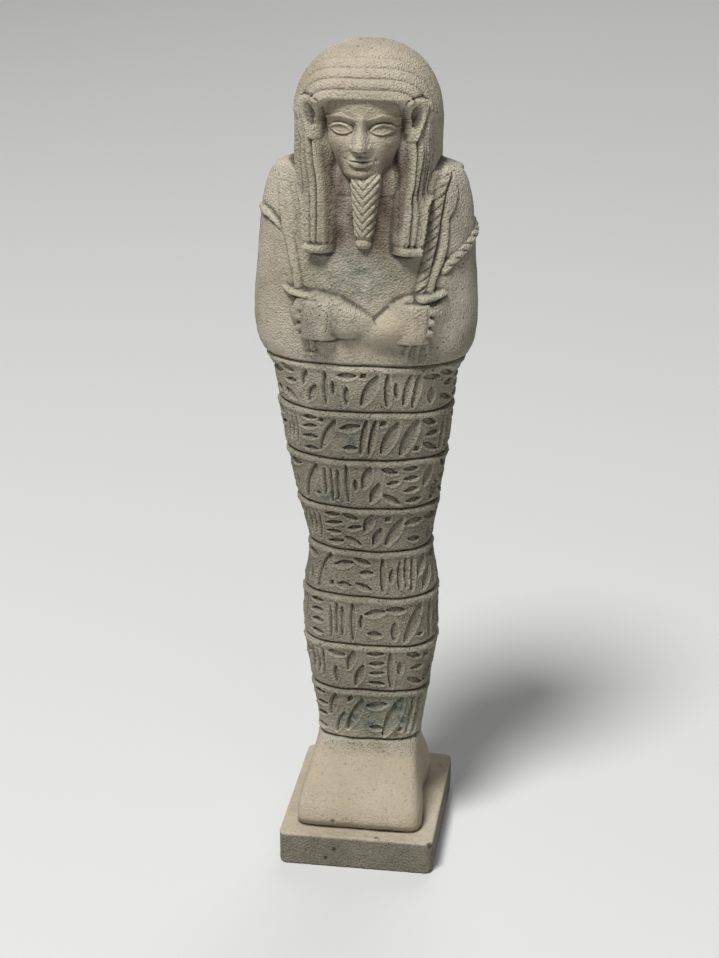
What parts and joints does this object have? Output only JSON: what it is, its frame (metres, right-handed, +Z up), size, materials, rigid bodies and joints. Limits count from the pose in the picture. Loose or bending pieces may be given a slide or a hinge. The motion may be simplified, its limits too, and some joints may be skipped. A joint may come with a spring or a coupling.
{
  "type": "ushabti figurine",
  "caption": "Mummiform servant figurine in a tripartite wig, arms crossed over hoe, pick and bag cords, with back pillar and plinth.",
  "frame": {"origin": "centre of the plinth's underside, on the surface it stands on", "axes": "+Z up through the crown of the wig, -Y the way the figure faces, +X towards the figure's left hand"},
  "size_m": [0.051, 0.045, 0.2],
  "materials": {
    "faience": "matte, worn glaze, sandy, with traces of green-blue glaze and brown stains"
  },
  "bodies": {
    "root": {"ushabti_figurine": "faience"}
  },
  "joints": []
}
